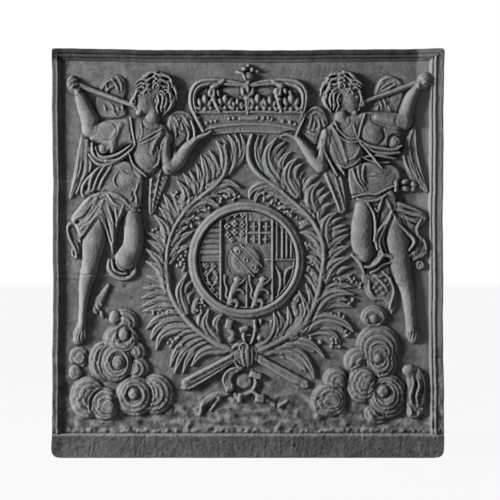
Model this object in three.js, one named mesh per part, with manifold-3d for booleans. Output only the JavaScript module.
// A cast-iron fireback: an upright plate with a framed panel, two trumpeting angels who hold a crown over a
// ringed shield between palm branches, and banks of cloud at the foot.
// Millimetres, +Z up, the decorated face looks along -Y, the foot stands on Z = 0.
import * as THREE from 'three';
import { mergeVertices } from 'three/addons/utils/BufferGeometryUtils.js';
import Module from 'manifold-3d';

const wasm = await Module();
wasm.setup();

// ---- driving sizes -------------------------------------------------------------------------------------
const PLATE_WIDTH = 800;
const PLATE_HEIGHT = 833;
const PLATE_THICK = 24;
const TOP_SAG = 4; // the top edge dips this much in the middle
const SIDE_BOW = 3; // each side is hollow by this much
const FOOT_CORNER = 19;
const TOP_CORNER = 8;
const BASE_HEIGHT = 51;
const BASE_RISE = 9;
const BASE_LIP = 4; // bevel along the upper edge of the base band
const MOULDING_WIDTH = 25;
const MOULDING_RISE = 13;
const FILLET_WIDTH = 8;
const BEAD_WIDTH = 5;
const MITRE_GAP = 0.3;
const CLEARANCE = 0.3; // between two pieces that meet

// The ornament is drawn from the middle of the foot and stretched until this point is the plate's corner.
const DRAWN_CORNER = [400, 833];
const ACROSS = PLATE_WIDTH / 2 / DRAWN_CORNER[0];
const UP = PLATE_HEIGHT / DRAWN_CORNER[1];
const drawn = (size) => size / ACROSS; // a real size as it is drawn

// How far each kind of ornament stands off the plate.
const LEAF_RISE = 9;
const STEM_RISE = 8;
const CLOTH_RISE = 13;
const FLYING_RISE = 10;
const WING_RISE = 8;
const LIMB_RISE = 19;
const BODY_RISE = 22;
const HEAD_RISE = 23;
const CLOUD_RISE = 18;
const CROWN_RISE = 14;
const JEWEL_RISE = 17;
const RING_RISE = 11;
const FIELD_RISE = 3;
const CHARGE_RISE = 6;
const BOSS_RISE = 9;
const RIBBON_RISE = 11;
const KNOT_RISE = 16;

const RING_AT = [-3, 402];
const RING_INNER = 101;
const RING_WIDTH = 17;
const RING_GROOVE = 2; // between the ring and the field
const BOSS_RADIUS = 37;

const FRONT = -PLATE_THICK / 2;
const HALF_WIDTH = PLATE_WIDTH / 2;
const SNAP = 1e-3;
const WELD = 1e-4;
const SMALL_DOME = 12; // domes narrower than this take fewer facets
// A puff's section: height at each share of its radius, both as shares.
const PUFF_ROLLS = [
  [0, 0.85], [0.28, 0.8], [0.42, 0.55], [0.58, 0.95], [0.8, 0.8], [1, 0.15], [1, -0.5], [0, -0.5],
];
const DEEP = 60; // longer than any relief, for cutting blocks

// ---- solids --------------------------------------------------------------------------------------------

/** A closed three.js geometry as a manifold solid, facing out. */
function solid(geometry) {
  geometry.deleteAttribute('normal');
  geometry.deleteAttribute('uv');
  const welded = mergeVertices(geometry, WELD);
  const corners = Array.from(welded.index.array);
  const kept = [];
  for (let i = 0; i < corners.length; i += 3) {
    const [a, b, c] = corners.slice(i, i + 3);
    if (a !== b && b !== c && c !== a) kept.push(a, b, c);
  }
  const mesh = new wasm.Mesh({
    numProp: 3,
    vertProperties: new Float32Array(welded.attributes.position.array),
    triVerts: new Uint32Array(kept),
  });
  const made = new wasm.Manifold(mesh);
  if (made.volume() > 0) return made;
  const turned = new Uint32Array(kept);
  for (let i = 0; i < turned.length; i += 3) {
    [turned[i + 1], turned[i + 2]] = [turned[i + 2], turned[i + 1]];
  }
  mesh.triVerts = turned;
  return new wasm.Manifold(mesh);
}

/** The shape through some points, straight or smooth. */
function shapeOf(points, smooth) {
  const corners = points.map(([x, z]) => new THREE.Vector2(x, z));
  if (!smooth) return new THREE.Shape(corners);
  const loop = new THREE.SplineCurve([...corners, corners[0]]);
  return new THREE.Shape(loop.getPoints(smooth).slice(0, -1));
}

/** An outline standing off the plate, its top drawn in by inset. */
function slab(points, height, { inset = 0, smooth = 0, grow = 0, hole = null } = {}) {
  const shape = shapeOf(points, smooth);
  if (hole) shape.holes.push(hole);
  const tall = height + grow;
  const options = {
    depth: tall,
    bevelEnabled: true,
    bevelThickness: tall / 2,
    bevelSize: inset,
    bevelOffset: grow - inset,
    bevelSegments: 1,
    curveSegments: 20,
  };
  const geometry = new THREE.ExtrudeGeometry(shape, options);
  geometry.translate(0, 0, -tall / 2);
  geometry.rotateX(Math.PI / 2);
  geometry.translate(0, FRONT, 0);
  return solid(geometry);
}

/** An upright block between two heights off the plate, with a polygon for its outline. */
function block(points, from, to) {
  const geometry = new THREE.ExtrudeGeometry(shapeOf(points, 0), { depth: to - from, bevelEnabled: false });
  geometry.translate(0, 0, from);
  geometry.rotateX(Math.PI / 2);
  geometry.translate(0, FRONT, 0);
  return solid(geometry);
}

/** A low dome, half an ellipsoid turned about its own axis. */
function dome(x, z, halfX, halfZ, height, turn = 0, grow = 0) {
  const small = Math.min(halfX, halfZ) < SMALL_DOME;
  const geometry = small ? new THREE.SphereGeometry(1, 8, 4) : new THREE.SphereGeometry(1, 12, 6);
  geometry.scale(halfX + grow, height + grow, halfZ + grow);
  geometry.rotateY(THREE.MathUtils.degToRad(-turn));
  geometry.translate(x, FRONT, z);
  return solid(geometry);
}

/** A dome with two rolled rings about its middle, as a puff of cloud. */
function puff(x, z, radius, height, grow = 0) {
  const profile = PUFF_ROLLS.map(([r, h]) => new THREE.Vector2(r * (radius + grow), h * (height + grow)));
  const geometry = new THREE.LatheGeometry(profile, 11);
  geometry.rotateX(Math.PI);
  geometry.translate(x, FRONT, z);
  return solid(geometry);
}

/** A bar along a curve, as wide as its list of half widths says, standing off the plate by height. */
function rod(points, halfWidths, height, { sides = 8, steps = 2, grow = 0 } = {}) {
  const through = points.map(([x, z]) => new THREE.Vector3(x, 0, z));
  const curve = new THREE.CatmullRomCurve3(through, false, 'centripetal');
  const widest = Math.max(...halfWidths) + grow;
  const last = halfWidths.length - 1;
  const profile = [];
  const rings = steps * last;
  profile.push(new THREE.Vector2(0, -1));
  for (let i = 0; i <= rings; i += 1) {
    const along = i / rings;
    const at = Math.min(Math.floor(along * last), last - 1);
    const between = along * last - at;
    const width = halfWidths[at] * (1 - between) + halfWidths[at + 1] * between;
    profile.push(new THREE.Vector2(width + grow, along));
  }
  profile.push(new THREE.Vector2(0, 2));
  const geometry = new THREE.LatheGeometry(profile, sides);
  const place = geometry.attributes.position;
  const outward = new THREE.Vector3(0, -1, 0);
  for (let i = 0; i < place.count; i += 1) {
    const level = place.getY(i);
    const along = THREE.MathUtils.clamp(level, 0, 1);
    const centre = curve.getPointAt(along);
    const ahead = curve.getTangentAt(along);
    const side = new THREE.Vector3().crossVectors(ahead, outward);
    const tip = level < 0 ? -(halfWidths[0] + grow) * 0.6 : (halfWidths[last] + grow) * 0.6;
    if (level !== along) centre.addScaledVector(ahead, tip);
    centre.addScaledVector(side, place.getX(i));
    centre.addScaledVector(outward, (place.getZ(i) * (height + grow)) / widest);
    place.setXYZ(i, centre.x, centre.y + FRONT, centre.z);
  }
  return solid(geometry);
}

/** A flat ring or disc with a bevelled rim. */
function ring(x, z, inner, outer, height, { inset = 0, grow = 0 } = {}) {
  const circle = new THREE.EllipseCurve(x, z, outer, outer, 0, 2 * Math.PI);
  const points = circle.getPoints(40).slice(0, -1).map((p) => [p.x, p.y]);
  const hole = inner > 0 ? new THREE.Path().absarc(x, z, inner, 0, 2 * Math.PI, true) : null;
  return slab(points, height, { inset, grow, hole });
}

const slim = (grow) => ({ sides: 6, grow });
const join = (solids) => solids.reduce((all, one) => all.add(one));

// ---- plate and frame -----------------------------------------------------------------------------------

/** The plate's outline: straight foot, hollow sides, sagging top, rounded corners. */
function plateOutline() {
  const path = new THREE.Shape();
  path.moveTo(-HALF_WIDTH + FOOT_CORNER, 0);
  path.lineTo(HALF_WIDTH - FOOT_CORNER, 0);
  path.quadraticCurveTo(HALF_WIDTH, 0, HALF_WIDTH, FOOT_CORNER);
  path.quadraticCurveTo(HALF_WIDTH - 2 * SIDE_BOW, PLATE_HEIGHT / 2, HALF_WIDTH, PLATE_HEIGHT - TOP_CORNER);
  path.quadraticCurveTo(HALF_WIDTH, PLATE_HEIGHT, HALF_WIDTH - TOP_CORNER, PLATE_HEIGHT);
  path.quadraticCurveTo(0, PLATE_HEIGHT - 2 * TOP_SAG, -HALF_WIDTH + TOP_CORNER, PLATE_HEIGHT);
  path.quadraticCurveTo(-HALF_WIDTH, PLATE_HEIGHT, -HALF_WIDTH, PLATE_HEIGHT - TOP_CORNER);
  path.quadraticCurveTo(-HALF_WIDTH + 2 * SIDE_BOW, PLATE_HEIGHT / 2, -HALF_WIDTH, FOOT_CORNER);
  path.quadraticCurveTo(-HALF_WIDTH, 0, -HALF_WIDTH + FOOT_CORNER, 0);
  return path;
}

/** The outline as a solid between two heights off the plate's front. */
function plateSolid(from, to) {
  const options = { depth: to - from, bevelEnabled: false, curveSegments: 6 };
  const geometry = new THREE.ExtrudeGeometry(plateOutline(), options);
  geometry.translate(0, 0, from);
  geometry.rotateX(Math.PI / 2);
  geometry.translate(0, FRONT, 0);
  return solid(geometry);
}

/** The moulding's section: height off the plate at each distance in from the plate's edge. */
function mouldingSection() {
  const step = MOULDING_RISE / 4;
  const bead = FILLET_WIDTH + BEAD_WIDTH;
  return [
    [0, 0],
    [0, MOULDING_RISE - step],
    [FILLET_WIDTH - BEAD_WIDTH / 2, MOULDING_RISE - step],
    [FILLET_WIDTH, MOULDING_RISE],
    [bead, MOULDING_RISE - step / 2],
    [bead + step, MOULDING_RISE / 2],
    [MOULDING_WIDTH - step, step / 2],
    [MOULDING_WIDTH, 0],
  ];
}

/** The section run straight up for length, on the left side of the plate. */
function mouldingBar(length) {
  const shape = shapeOf(mouldingSection(), 0);
  const geometry = new THREE.ExtrudeGeometry(shape, { depth: length, bevelEnabled: false });
  geometry.rotateX(Math.PI);
  geometry.translate(-HALF_WIDTH, FRONT, length);
  return solid(geometry);
}

const MITRE_FOOT = PLATE_HEIGHT - MOULDING_WIDTH;
const INNER_EDGE = HALF_WIDTH - MOULDING_WIDTH;

/** One side moulding, from the base band up to the mitre; side is -1 for left and 1 for right. */
function sideMoulding(side) {
  const upright = [
    [side * HALF_WIDTH, BASE_HEIGHT + CLEARANCE],
    [side * INNER_EDGE, BASE_HEIGHT + CLEARANCE],
    [side * INNER_EDGE, MITRE_FOOT - MITRE_GAP],
    [side * HALF_WIDTH, PLATE_HEIGHT - MITRE_GAP],
  ];
  const bar = mouldingBar(PLATE_HEIGHT);
  const placed = side < 0 ? bar : bar.mirror([1, 0, 0]);
  return placed.intersect(block(upright, 0, DEEP)).intersect(plateSolid(0, DEEP));
}

/** The top moulding, between the two mitres. */
function topMoulding() {
  const across = [
    [-HALF_WIDTH, PLATE_HEIGHT],
    [-INNER_EDGE, MITRE_FOOT],
    [INNER_EDGE, MITRE_FOOT],
    [HALF_WIDTH, PLATE_HEIGHT],
  ];
  const bar = mouldingBar(PLATE_WIDTH).translate([HALF_WIDTH, 0, 0]).rotate([0, 90, 0]);
  const placed = bar.translate([-HALF_WIDTH, 0, PLATE_HEIGHT]);
  return placed.intersect(block(across, 0, DEEP)).intersect(plateSolid(0, DEEP));
}

/** The foot: a plain band as deep as the plate behind it, with a bevel along its upper front edge. */
function baseBand() {
  const section = [
    [0, -PLATE_THICK],
    [0, BASE_RISE],
    [BASE_HEIGHT - BASE_LIP, BASE_RISE],
    [BASE_HEIGHT, BASE_RISE - BASE_LIP],
    [BASE_HEIGHT, -PLATE_THICK],
  ];
  const options = { depth: PLATE_WIDTH, bevelEnabled: false };
  const geometry = new THREE.ExtrudeGeometry(shapeOf(section, 0), options);
  const lie = new THREE.Matrix4();
  lie.set(0, 0, 1, -HALF_WIDTH, 0, -1, 0, FRONT, 1, 0, 0, 0, 0, 0, 0, 1);
  geometry.applyMatrix4(lie);
  return solid(geometry).intersect(plateSolid(-PLATE_THICK, DEEP));
}

/** The plate itself, from the foot band up. */
function backPlate() {
  const above = [
    [-HALF_WIDTH, BASE_HEIGHT + CLEARANCE],
    [HALF_WIDTH, BASE_HEIGHT + CLEARANCE],
    [HALF_WIDTH, PLATE_HEIGHT],
    [-HALF_WIDTH, PLATE_HEIGHT],
  ];
  return plateSolid(-PLATE_THICK, 0).intersect(block(above, -PLATE_THICK, 0));
}

// ---- ornament, drawn from the middle of the foot -------------------------------------------------------

const fronds = (list, halfWidths, grow) => list.map((points) => (
  rod(points, halfWidths, LEAF_RISE, { sides: 4, steps: 1, grow })
));
const SLIM_FROND = [3.5, 6.5, 6, 1];
const BROAD_FROND = [4, 9, 9, 1.5];
const STEM = [8, 7, 6.5, 6, 5];

const RIGHT_STEM = [
  [18, 214], [60, 235], [90, 252], [120, 275], [142, 330], [152, 400], [145, 462], [100, 515],
  [45, 560], [22, 578],
];
const RIGHT_BROAD = [
  [[86, 530], [80, 570], [98, 607]], [[126, 492], [127, 525], [145, 555]],
  [[150, 450], [158, 482], [180, 497]], [[150, 372], [178, 393], [207, 403]],
  [[134, 302], [157, 322], [212, 330]], [[112, 266], [150, 279], [213, 257]],
  [[22, 224], [50, 248], [55, 292]],
];
const RIGHT_SLIM = [
  [[32, 569], [14, 614], [10, 656]], [[38, 564], [24, 615], [38, 655]],
  [[46, 558], [38, 612], [60, 650]], [[54, 552], [52, 610], [72, 640]],
  [[64, 545], [60, 605], [84, 634]], [[92, 522], [98, 560], [115, 582]],
  [[104, 510], [110, 546], [122, 570]], [[112, 502], [126, 553], [150, 577]],
  [[132, 478], [146, 518], [165, 540]], [[148, 462], [158, 500], [175, 515]],
  [[150, 445], [172, 472], [195, 482]], [[150, 436], [172, 456], [200, 463]],
  [[152, 415], [180, 432], [200, 452]], [[150, 398], [180, 414], [204, 422]],
  [[146, 345], [185, 348], [215, 345]], [[134, 300], [168, 318], [200, 323]],
  [[50, 230], [110, 240], [158, 202]], [[30, 220], [80, 220], [118, 185]],
  [[60, 236], [74, 268], [60, 297]], [[62, 238], [84, 272], [82, 305]],
  [[90, 254], [120, 295], [103, 338]], [[126, 290], [130, 325], [117, 352]],
  [[58, 550], [30, 554], [0, 533]], [[66, 544], [35, 545], [15, 522]],
  [[104, 510], [82, 514], [62, 505]], [[150, 425], [130, 450], [107, 458]],
  [[150, 380], [132, 402], [114, 430]],
  [[134, 298], [168, 310], [212, 306]], [[150, 350], [184, 371], [211, 382]],
  [[94, 250], [140, 262], [190, 238]],
];
const LEFT_STEM = [
  [-22, 214], [-60, 230], [-110, 262], [-140, 295], [-158, 345], [-163, 400], [-152, 465], [-125, 505],
  [-75, 546], [-46, 580], [-40, 604],
];
const LEFT_BROAD = [
  [[-90, 536], [-86, 572], [-90, 612]], [[-128, 502], [-124, 530], [-143, 560]],
  [[-160, 446], [-168, 472], [-190, 492]], [[-160, 405], [-176, 438], [-196, 463]],
  [[-160, 358], [-175, 392], [-206, 422]], [[-138, 292], [-170, 294], [-214, 300]],
  [[-118, 268], [-160, 268], [-200, 256]], [[-60, 232], [-86, 262], [-80, 298]],
];
const LEFT_SLIM = [
  [[-50, 572], [-54, 612], [-66, 643]], [[-46, 574], [-42, 610], [-56, 645]],
  [[-44, 580], [-26, 612], [-35, 655]], [[-48, 572], [-16, 604], [-18, 655]],
  [[-104, 520], [-104, 555], [-106, 592]], [[-112, 514], [-112, 545], [-125, 580]],
  [[-148, 470], [-158, 490], [-178, 508]], [[-146, 474], [-154, 508], [-172, 537]],
  [[-156, 340], [-178, 374], [-206, 396]], [[-132, 282], [-165, 286], [-203, 268]],
  [[-100, 252], [-152, 252], [-186, 222]], [[-60, 228], [-118, 222], [-150, 178]],
  [[-40, 220], [-84, 214], [-113, 187]], [[-132, 288], [-139, 335], [-125, 372]],
  [[-126, 280], [-126, 330], [-110, 350]], [[-60, 234], [-66, 264], [-52, 288]],
  [[-116, 512], [-92, 520], [-57, 512]], [[-126, 500], [-108, 504], [-85, 503]],
  [[-64, 554], [-38, 558], [-17, 550]], [[-158, 420], [-142, 447], [-115, 460]],
  [[-50, 574], [-62, 604], [-76, 622]],
  [[-152, 336], [-178, 360], [-206, 370]], [[-150, 328], [-182, 346], [-212, 346]],
  [[-146, 316], [-184, 331], [-215, 325]], [[-140, 303], [-180, 317], [-214, 310]],
];

const RIGHT_PALM = (g) => join([
  rod(RIGHT_STEM, STEM, STEM_RISE, slim(g)),
  ...fronds(RIGHT_BROAD, BROAD_FROND, g),
  ...fronds(RIGHT_SLIM, SLIM_FROND, g),
]);
const LEFT_PALM = (g) => join([
  rod(LEFT_STEM, STEM, STEM_RISE, slim(g)),
  ...fronds(LEFT_BROAD, BROAD_FROND, g),
  ...fronds(LEFT_SLIM, SLIM_FROND, g),
]);

const [RING_X, RING_Z] = RING_AT;
const bar = (x0, z0, x1, z1, half, height, g) => (
  rod([[x0, z0], [x1, z1]], [half, half], height, { sides: 4, steps: 1, grow: g })
);
const FLOWERS = [
  [-42, 470], [-20, 478], [-34, 450], [-16, 454], [-82, 385], [-72, 362], [-64, 340], [-86, 360],
];
const MEDALLION = {
  medallion_boss: (g) => join([
    ring(RING_X, RING_Z, 0, drawn(BOSS_RADIUS), BOSS_RISE - 2, { inset: 2, grow: g }),
    bar(RING_X - 26, RING_Z + 22, RING_X + 26, RING_Z - 24, 11, BOSS_RISE, g),
  ]),
  medallion_ring: (g) => {
    const outer = drawn(RING_INNER + RING_WIDTH);
    return ring(RING_X, RING_Z, drawn(RING_INNER) - g, outer, RING_RISE, { inset: 3, grow: g });
  },
  medallion_field: (g) => join([
    ring(RING_X, RING_Z, 0, drawn(RING_INNER - RING_GROOVE), FIELD_RISE, { grow: g }),
    bar(-54, 322, -54, 482, 3, CHARGE_RISE, g),
    bar(50, 322, 50, 482, 3, CHARGE_RISE, g),
    bar(-2, 312, -2, 492, 3, CHARGE_RISE, g),
    bar(-92, 402, 86, 402, 3, CHARGE_RISE, g),
    ...[420, 434, 448, 462].map((z) => bar(-88, z, -60, z, 4, CHARGE_RISE, g)),
    ...[62, 71, 80].map((x) => bar(x, 408, x, 454, 3, CHARGE_RISE, g)),
    bar(24, 432, 24, 482, 5, CHARGE_RISE, g),
    bar(6, 457, 42, 457, 5, CHARGE_RISE, g),
    ...FLOWERS.map(([x, z]) => dome(x, z, 6, 6, CHARGE_RISE, 0, g)),
    rod([[-44, 315], [-26, 335], [-30, 362], [-16, 376]], [6, 10, 5], CHARGE_RISE, slim(g)),
    rod([[10, 318], [26, 335], [22, 362], [38, 376]], [6, 10, 5], CHARGE_RISE, slim(g)),
    rod([[57, 388], [65, 360], [60, 332]], [3, 7, 3], CHARGE_RISE, slim(g)),
    rod([[84, 385], [77, 368], [72, 346]], [3, 6, 3], CHARGE_RISE, slim(g)),
  ]),
};

const CIRCLET = [
  [-108, 702], [-92, 660], [-50, 668], [0, 672], [50, 668], [90, 660], [110, 702], [55, 710], [0, 713],
  [-55, 710],
];
const ARCHES = [
  [[-108, 704], [-116, 735], [-100, 762], [-62, 768], [-10, 756]], [[-80, 708], [-76, 745], [-50, 764]],
  [[110, 704], [118, 735], [104, 762], [62, 768], [12, 756]], [[78, 708], [76, 742], [52, 764]],
];
const CAP = [[-96, 712], [-100, 738], [-70, 754], [0, 750], [70, 754], [102, 738], [98, 712], [0, 716]];
const PEARLS = [
  [-104, 711], [-83, 713], [-48, 720], [-22, 719], [14, 720], [38, 717], [62, 719], [84, 716],
  [101, 714],
];
const JEWELS = [[-85, 681], [-58, 686], [-28, 689], [2, 690], [32, 689], [60, 686], [85, 682]];
const CROWN = {
  crown_circlet: (g) => join([
    slab(CIRCLET, CROWN_RISE, { inset: 3, grow: g }),
    ...JEWELS.map(([x, z]) => dome(x, z, 8, 7, JEWEL_RISE, 0, g)),
    ...PEARLS.map(([x, z]) => dome(x, z, 8, 11, JEWEL_RISE, 0, g)),
  ]),
  crown_finial: (g) => join([
    dome(2, 772, 16, 13, JEWEL_RISE, 0, g),
    dome(2, 790, 8, 10, CROWN_RISE, 0, g),
    rod([[2, 704], [0, 730], [2, 762]], [7, 13, 5], CROWN_RISE, slim(g)),
  ]),
  crown_arches: (g) => join([
    slab(CAP, FIELD_RISE, { grow: g }),
    rod([[-14, 757], [2, 752], [16, 757]], [6, 6, 6], CROWN_RISE, { sides: 6, steps: 1, grow: g }),
    ...ARCHES.map((points) => rod(points, [7, 8, 8, 6], CROWN_RISE, slim(g))),
  ]),
};

const TIES = {
  rosette_knot: (g) => join([
    dome(-3, 209, 23, 26, KNOT_RISE, 0, g),
    rod([[-30, 222], [-3, 216], [24, 222]], [6, 8, 6], RIBBON_RISE, slim(g)),
  ]),
  upper_ribbon: (g) => join([
    rod([[-42, 276], [-34, 258], [-20, 246], [-4, 252]], [5, 8, 6], RIBBON_RISE, slim(g)),
    rod([[-8, 250], [8, 262], [26, 272]], [6, 8, 5], RIBBON_RISE, slim(g)),
    rod([[-20, 246], [-4, 244], [14, 248]], [6, 8, 5], RIBBON_RISE, slim(g)),
  ]),
  left_stalk: (g) => rod([[-26, 206], [-72, 178], [-116, 148]], [9, 11, 13], RIBBON_RISE, slim(g)),
  right_stalk: (g) => rod([[20, 206], [66, 180], [112, 152]], [9, 10, 12], RIBBON_RISE, slim(g)),
  lower_bow: (g) => join([
    ring(-8, 155, 16 - g, 30, RIBBON_RISE, { inset: 4, grow: g }),
    rod([[-10, 132], [-45, 136], [-62, 124], [-90, 108], [-102, 90]], [7, 8, 6, 5], RIBBON_RISE, slim(g)),
    rod([[-8, 134], [20, 126], [48, 112], [78, 114]], [7, 8, 6, 5], RIBBON_RISE, slim(g)),
    rod([[-12, 134], [-18, 112]], [8, 5], RIBBON_RISE, slim(g)),
  ]),
};

const LEFT_ANGEL = {
  left_raised_arm: (g) => join([
    dome(-354, 757, 14, 20, LIMB_RISE, 0, g),
    rod([[-346, 745], [-334, 700], [-324, 664]], [10, 15, 17], LIMB_RISE, { grow: g }),
    rod([[-324, 662], [-285, 664], [-252, 670]], [17, 20, 22], LIMB_RISE, { grow: g }),
  ]),
  left_supporting_arm: (g) => join([
    rod([[-174, 650], [-163, 612], [-158, 586]], [16, 15, 13], LIMB_RISE, { grow: g }),
    rod([[-158, 586], [-134, 616], [-110, 648]], [13, 12, 9], LIMB_RISE, { grow: g }),
    dome(-98, 655, 18, 10, LIMB_RISE - 4, 10, g),
  ]),
  left_head: (g) => join([
    dome(-188, 738, 38, 41, HEAD_RISE, 0, g),
    dome(-212, 714, 18, 26, HEAD_RISE - 3, 0, g),
    rod([[-206, 700], [-208, 676]], [13, 15], LIMB_RISE, { grow: g }),
  ]),
  left_sash: (g) => join([
    rod([[-320, 622], [-300, 606], [-262, 606], [-236, 622]], [7, 9, 7], BODY_RISE, slim(g)),
    dome(-296, 622, 16, 13, BODY_RISE, 0, g),
  ]),
  left_torso: (g) => join([
    dome(-218, 642, 36, 42, BODY_RISE, -15, g),
    dome(-206, 596, 24, 34, LIMB_RISE, 0, g),
  ]),
  left_tunic: (g) => join([
    slab([
      [-304, 594], [-330, 566], [-340, 540], [-330, 526], [-305, 536], [-285, 534], [-262, 520], [-244, 512],
      [-226, 498], [-216, 520], [-212, 570], [-226, 600], [-262, 604],
    ], CLOTH_RISE, { inset: 3, grow: g }),
    dome(-245, 562, 27, 30, LIMB_RISE, 0, g),
    rod([[-272, 596], [-296, 570], [-320, 545]], [4, 7, 6], CLOTH_RISE + 3, { sides: 4, grow: g }),
  ]),
  left_standing_leg: (g) => join([
    rod([
      [-310, 480], [-313, 430], [-318, 395], [-327, 355], [-335, 305], [-337, 272],
    ], [28, 25, 19, 18, 9, 8], LIMB_RISE, { grow: g }),
    rod([[-336, 276], [-341, 256], [-347, 240]], [9, 14, 9], LIMB_RISE - 4, { grow: g }),
  ]),
  left_bent_leg: (g) => rod(
    [[-238, 504], [-231, 450], [-240, 415], [-254, 388]],
    [20, 21, 25, 24],
    LIMB_RISE,
    { grow: g },
  ),
  left_far_foot: (g) => rod([[-288, 340], [-300, 314], [-310, 292]], [6, 11, 8], WING_RISE, slim(g)),
  left_skirt: (g) => slab([
    [-336, 526], [-348, 500], [-344, 470], [-300, 478], [-285, 440], [-274, 416], [-262, 440], [-222, 480],
    [-224, 500], [-250, 520], [-290, 536],
  ], FLYING_RISE, { inset: 3, grow: g }),
  left_ribbon_loop: (g) => join([
    rod([[-350, 486], [-366, 466], [-358, 440], [-352, 410]], [5, 7, 6, 5], WING_RISE, slim(g)),
    rod([[-346, 484], [-342, 452], [-350, 412]], [5, 6, 5], WING_RISE, slim(g)),
  ]),
  left_trumpet: (g) => rod([[-340, 754], [-284, 733], [-230, 712]], [7, 6, 5.5], CLOTH_RISE, { grow: g }),
  left_outer_wing: (g) => slab([
    [-306, 700], [-302, 744], [-286, 774], [-262, 783], [-246, 768], [-250, 738], [-248, 706], [-262, 692],
  ], WING_RISE, { inset: 3, grow: g }),
  left_wing_feathers: (g) => join([
    rod([[-334, 650], [-350, 610], [-356, 570], [-362, 534]], [6, 9, 9, 4], WING_RISE, slim(g)),
    rod([[-330, 650], [-334, 615], [-344, 570]], [6, 8, 4], WING_RISE, slim(g)),
  ]),
  left_inner_wing: (g) => slab([
    [-170, 660], [-164, 700], [-140, 716], [-112, 704], [-104, 676], [-128, 656], [-146, 636], [-160, 632],
  ], WING_RISE, { inset: 3, grow: g }),
  left_wing_tail: (g) => rod([[-184, 592], [-188, 550], [-198, 500]], [6, 10, 5], WING_RISE, slim(g)),
};

const RIGHT_ANGEL = {
  right_raised_arm: (g) => join([
    dome(357, 766, 15, 18, LIMB_RISE, 0, g),
    rod([[348, 752], [330, 712], [322, 676]], [10, 15, 17], LIMB_RISE, { grow: g }),
    rod([[322, 674], [285, 678], [250, 684]], [17, 19, 20], LIMB_RISE, { grow: g }),
  ]),
  right_supporting_arm: (g) => join([
    rod([[168, 654], [148, 612], [142, 586]], [17, 15, 13], LIMB_RISE, { grow: g }),
    rod([[142, 586], [122, 612], [100, 642]], [13, 12, 9], LIMB_RISE, { grow: g }),
    dome(98, 652, 13, 16, LIMB_RISE - 4, 0, g),
    rod([[102, 660], [112, 698]], [7, 4], LIMB_RISE - 6, slim(g)),
  ]),
  right_head: (g) => join([
    dome(186, 736, 30, 41, HEAD_RISE, 0, g),
    dome(210, 722, 20, 28, HEAD_RISE - 3, 0, g),
    rod([[200, 702], [206, 680]], [14, 16], LIMB_RISE, { grow: g }),
  ]),
  right_sash: (g) => join([
    rod([[226, 640], [256, 620], [290, 616], [316, 630]], [7, 9, 8], BODY_RISE, slim(g)),
    dome(293, 642, 18, 14, LIMB_RISE, 0, g),
  ]),
  right_torso: (g) => join([
    dome(214, 642, 38, 42, BODY_RISE, 15, g),
    dome(204, 592, 25, 36, LIMB_RISE, 0, g),
  ]),
  right_tunic: (g) => join([
    slab([
      [208, 600], [198, 566], [212, 524], [236, 530], [262, 528], [290, 540], [326, 534], [340, 546],
      [318, 584], [290, 604], [250, 608],
    ], CLOTH_RISE, { inset: 3, grow: g }),
    dome(236, 566, 26, 30, LIMB_RISE, 0, g),
    dome(302, 553, 16, 14, LIMB_RISE, 0, g),
  ]),
  right_standing_leg: (g) => join([
    rod([
      [302, 500], [308, 440], [312, 395], [322, 350], [330, 300], [332, 268],
    ], [30, 27, 19, 18, 11, 9], LIMB_RISE, { grow: g }),
    rod([[331, 276], [335, 258], [340, 242]], [9, 15, 9], LIMB_RISE - 4, { grow: g }),
  ]),
  right_bent_leg: (g) => rod(
    [[226, 520], [233, 466], [231, 430], [240, 400]],
    [19, 23, 22, 18],
    LIMB_RISE,
    { grow: g },
  ),
  right_skirt: (g) => slab([
    [214, 528], [212, 490], [256, 470], [262, 436], [274, 410], [288, 440], [300, 470], [340, 484],
    [352, 506], [330, 532], [280, 536],
  ], FLYING_RISE, { inset: 3, grow: g }),
  right_lower_cloth: (g) => slab([
    [226, 392], [232, 344], [262, 322], [288, 330], [292, 372], [276, 402], [250, 408],
  ], WING_RISE, { inset: 4, grow: g }),
  right_flying_cloth: (g) => join([
    rod([[340, 500], [362, 482], [348, 458], [360, 432], [348, 396]], [6, 8, 7, 6], WING_RISE, slim(g)),
    rod([[338, 500], [338, 462], [328, 428]], [6, 8, 5], WING_RISE, slim(g)),
  ]),
  right_trumpet: (g) => rod([[232, 720], [290, 742], [348, 764]], [5.5, 6, 7], CLOTH_RISE, { grow: g }),
  right_outer_wing: (g) => slab([
    [244, 706], [250, 742], [250, 770], [268, 782], [292, 770], [308, 742], [312, 700], [270, 694],
  ], WING_RISE, { inset: 3, grow: g }),
  right_wing_feathers: (g) => join([
    rod([[330, 680], [346, 630], [358, 590], [366, 546]], [6, 10, 9, 4], WING_RISE, slim(g)),
    rod([[332, 668], [334, 612], [344, 566]], [6, 9, 4], WING_RISE, slim(g)),
  ]),
  right_inner_wing: (g) => slab([
    [164, 664], [160, 706], [136, 722], [118, 712], [108, 684], [124, 658], [142, 636], [154, 632],
  ], WING_RISE, { inset: 3, grow: g }),
  right_wing_tail: (g) => rod([[162, 590], [176, 548], [192, 504]], [7, 11, 5], WING_RISE, slim(g)),
};

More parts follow.
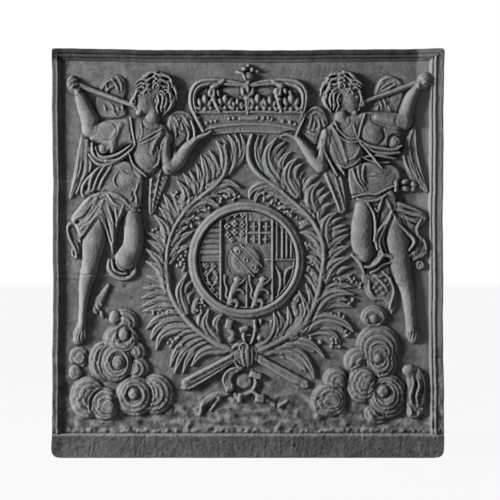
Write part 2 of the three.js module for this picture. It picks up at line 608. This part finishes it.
const puffs = (list, g) => join(list.map(([x, z, radius]) => puff(x, z, radius, CLOUD_RISE, g)));
const LEFT_HIGH_CLOUD = [[-250, 285, 27], [-252, 248, 37], [-216, 228, 18]];
const LEFT_MIDDLE_CLOUD = [[-278, 193, 44], [-220, 184, 26], [-332, 200, 22], [-336, 166, 20]];
const LEFT_LOW_CLOUD = [[-330, 122, 38], [-286, 108, 37], [-232, 123, 38], [-188, 130, 35]];
const RIGHT_HIGH_CLOUD = [[258, 287, 27], [262, 242, 38]];
const RIGHT_MIDDLE_CLOUD = [[268, 192, 36], [214, 200, 33], [225, 152, 36], [172, 140, 32]];
const RIGHT_LOW_CLOUD = [[286, 130, 42], [262, 84, 24]];
const CLOUDS = {
  left_cloud_high: (g) => puffs(LEFT_HIGH_CLOUD, g),
  left_cloud_middle: (g) => puffs(LEFT_MIDDLE_CLOUD, g),
  left_cloud_low: (g) => puffs(LEFT_LOW_CLOUD, g),
  right_cloud_high: (g) => puffs(RIGHT_HIGH_CLOUD, g),
  right_cloud_middle: (g) => puffs(RIGHT_MIDDLE_CLOUD, g),
  right_cloud_low: (g) => puffs(RIGHT_LOW_CLOUD, g),
  right_cloud_column: (g) => join([
    puff(334, 172, 22, CLOUD_RISE, g),
    rod([[334, 168], [340, 130], [336, 86]], [16, 21, 15], CLOUD_RISE - 4, { grow: g }),
  ]),
};

const ORNAMENTS = {
  ...CROWN,
  ...MEDALLION,
  ...TIES,
  ...LEFT_ANGEL,
  ...RIGHT_ANGEL,
  left_palm: LEFT_PALM,
  right_palm: RIGHT_PALM,
  ...CLOUDS,
};

// Each ornament is cut clear of all the ones named before it, so low ones run on under the tall ones.
const CUTTING_ORDER = [
  'left_outer_wing', 'right_outer_wing', 'left_wing_feathers', 'right_wing_feathers', 'left_wing_tail',
  'right_wing_tail', 'left_inner_wing', 'right_inner_wing', 'left_ribbon_loop', 'right_flying_cloth',
  'left_far_foot', 'right_lower_cloth', 'left_skirt', 'right_skirt', 'left_tunic', 'right_tunic',
  'left_standing_leg', 'right_standing_leg', 'left_bent_leg', 'right_bent_leg', 'left_torso', 'right_torso',
  'left_head', 'right_head', 'left_raised_arm', 'right_raised_arm', 'left_trumpet', 'right_trumpet',
  'left_supporting_arm', 'right_supporting_arm', 'left_sash', 'right_sash', 'crown_circlet', 'crown_finial',
  'crown_arches', 'medallion_boss', 'medallion_ring', 'medallion_field', 'rosette_knot', 'lower_bow',
  'left_stalk', 'right_stalk', 'upper_ribbon', 'left_palm', 'right_palm', 'left_cloud_low', 'right_cloud_low',
  'left_cloud_middle', 'right_cloud_middle', 'left_cloud_high', 'right_cloud_high', 'right_cloud_column',
];

/** Whether two solids' bounding boxes meet. */
function boxesMeet(one, other) {
  const a = one.boundingBox();
  const b = other.boundingBox();
  return [0, 1, 2].every((axis) => a.min[axis] < b.max[axis] && b.min[axis] < a.max[axis]);
}

/** The largest connected piece of a solid. */
function mainPiece(made) {
  const pieces = made.decompose();
  return pieces.reduce((best, piece) => (piece.volume() > best.volume() ? piece : best));
}

/** Every ornament cut flush at the plate and clear of those in front of it. */
function ornaments() {
  const panel = block([
    [-INNER_EDGE + CLEARANCE, BASE_HEIGHT + CLEARANCE],
    [INNER_EDGE - CLEARANCE, BASE_HEIGHT + CLEARANCE],
    [INNER_EDGE - CLEARANCE, MITRE_FOOT - TOP_SAG],
    [-INNER_EDGE + CLEARANCE, MITRE_FOOT - TOP_SAG],
  ], 0, DEEP);
  const done = {};
  const inFront = [];
  CUTTING_ORDER.forEach((name) => {
    const make = ORNAMENTS[name];
    let piece = make(0).scale([ACROSS, 1, UP]).intersect(panel);
    inFront.filter((grown) => boxesMeet(piece, grown)).forEach((grown) => {
      piece = piece.subtract(grown);
    });
    done[name] = mainPiece(piece);
    inFront.push(make(CLEARANCE).scale([ACROSS, 1, UP]));
  });
  return done;
}

// ---- the object ----------------------------------------------------------------------------------------

const IRON = { color: 0x47484a, roughness: 0.55, metalness: 0.9 };
const WORN_IRON = { color: 0x505153, roughness: 0.48, metalness: 0.9 };

/** A solid as a named mesh; corners that lie on the plate's front are put exactly there. */
function meshOf(name, made, look) {
  const found = made.getMesh();
  const place = new Float32Array(found.numVert * 3);
  for (let i = 0; i < found.numVert; i += 1) {
    for (let axis = 0; axis < 3; axis += 1) {
      place[3 * i + axis] = found.vertProperties[found.numProp * i + axis];
    }
    if (Math.abs(place[3 * i + 1] - FRONT) < SNAP) place[3 * i + 1] = FRONT;
  }
  const geometry = new THREE.BufferGeometry();
  geometry.setAttribute('position', new THREE.BufferAttribute(place, 3));
  geometry.setIndex(Array.from(found.triVerts));
  geometry.computeVertexNormals();
  const mesh = new THREE.Mesh(geometry, new THREE.MeshStandardMaterial(look));
  mesh.name = name;
  return mesh;
}

const fireback = new THREE.Group();
fireback.name = 'fireback';
fireback.add(meshOf('back_plate', backPlate(), IRON));
fireback.add(meshOf('base_band', baseBand(), IRON));
fireback.add(meshOf('left_moulding', sideMoulding(-1), IRON));
fireback.add(meshOf('right_moulding', sideMoulding(1), IRON));
fireback.add(meshOf('top_moulding', topMoulding(), IRON));
Object.entries(ornaments()).forEach(([name, made]) => fireback.add(meshOf(name, made, WORN_IRON)));

export default fireback;
